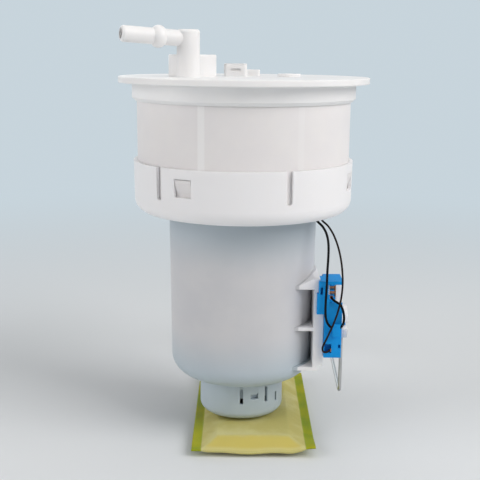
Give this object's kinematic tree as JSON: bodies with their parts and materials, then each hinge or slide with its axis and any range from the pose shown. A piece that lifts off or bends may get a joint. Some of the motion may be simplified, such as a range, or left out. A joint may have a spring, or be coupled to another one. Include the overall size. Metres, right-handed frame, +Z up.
{
  "type": "fuel pump module",
  "caption": "In-tank fuel pump module: round flange with outlet nipple, clear filter drum, pump barrel, float level sender and suction strainer.",
  "frame": {"origin": "centre of the flange's underside, on the axis of the tank spigot", "axes": "+Z up along the spigot's axis, out of the tank; -Y the module's front; +X the side of the level sender"},
  "size_m": [0.13, 0.1875, 0.2157],
  "materials": {
    "white_plastic": "satin moulded acetal",
    "clear_plastic": "milky natural acetal",
    "grey_plastic": "milky natural acetal",
    "blue_plastic": "satin moulded acetal",
    "black_plastic": "glass filled nylon",
    "black_rubber": "nitrile",
    "steel": "plain",
    "tinned_brass": "tinned",
    "bronze": "sintered",
    "copper": "bright",
    "copper_core": "wound core",
    "magnet": "ferrite",
    "carbon": "carbon",
    "filter_paper": "pleated paper",
    "strainer_cloth": "woven polyester",
    "card_ceramic": "ceramic",
    "track_ink": "printed",
    "float_black": "nitrile foam",
    "black_lead_skin": "insulation",
    "brown_lead_skin": "insulation"
  },
  "bodies": {
    "module": {"flange_head": "white_plastic", "socket_blades": "tinned_brass", "duct_gasket": "black_rubber", "filter_drum": "clear_plastic", "filter_media": "filter_paper", "filter_top_plate": "white_plastic", "filter_bottom_plate": "white_plastic", "filter_rim_seal": "black_rubber", "duct_seal": "black_rubber", "lower_housing": "grey_plastic", "bottom_cap": "grey_plastic", "regulator_can": "steel", "regulator_spring": "steel", "regulator_plug": "steel", "pump_shell": "steel", "pump_outlet_cover": "black_plastic", "pump_outlet_seal": "black_rubber", "pump_tabs": "tinned_brass", "check_valve_spring": "steel", "check_valve_stop": "black_plastic", "pump_bush": "bronze", "pump_brushes": "carbon", "brush_springs": "steel", "pump_magnets": "magnet", "chamber_plate": "black_plastic", "chamber_spacer": "black_plastic", "pump_inlet_cover": "black_plastic", "pump_isolator_upper": "black_rubber", "pump_isolator_lower": "black_rubber", "strainer_neck": "black_plastic", "strainer_retainer": "steel", "strainer_grid": "black_plastic", "strainer_bag": "strainer_cloth", "sender_frame": "blue_plastic", "resistor_card": "card_ceramic", "card_tracks": "track_ink", "sender_terminals": "copper", "lead_grommet": "black_rubber", "black_lead": "black_lead_skin", "brown_lead": "brown_lead_skin", "pump_lead_plus": "brown_lead_skin", "pump_lead_minus": "black_lead_skin", "black_lead_inner": "black_lead_skin", "brown_lead_inner": "brown_lead_skin"},
    "armature": {"pump_armature": "copper_core", "impeller": "black_plastic"},
    "outlet_check_valve": {"check_valve": "black_plastic"},
    "regulator_ball": {"regulator_valve": "steel"},
    "float_arm": {"sender_rotor": "white_plastic", "wiper_contacts": "copper", "float_wire": "steel", "float_body": "float_black"}
  },
  "joints": [
    {"name": "armature_spin", "type": "hinge", "parent": "module", "child": "armature", "pos_m": [0, 0, -0.122], "axis": [0, 0, 1], "continuous": true},
    {"name": "check_valve_lift", "type": "slide", "parent": "module", "child": "outlet_check_valve", "axis": [0, 0, 1], "range_m": [0, 0.0016], "stiffness_N_per_m": 40, "springref_m": -0.003, "deforming": ["check_valve_spring"]},
    {"name": "regulator_lift", "type": "slide", "parent": "module", "child": "regulator_ball", "axis": [0, 0, -1], "range_m": [0, 0.0009], "stiffness_N_per_m": 1500, "springref_m": -0.003, "deforming": ["regulator_spring"]},
    {"name": "float_swing", "type": "hinge", "parent": "module", "child": "float_arm", "pos_m": [0.0531, -0.016, -0.1239], "axis": [1, 0, 0], "range_deg": [0, 55]}
  ]
}
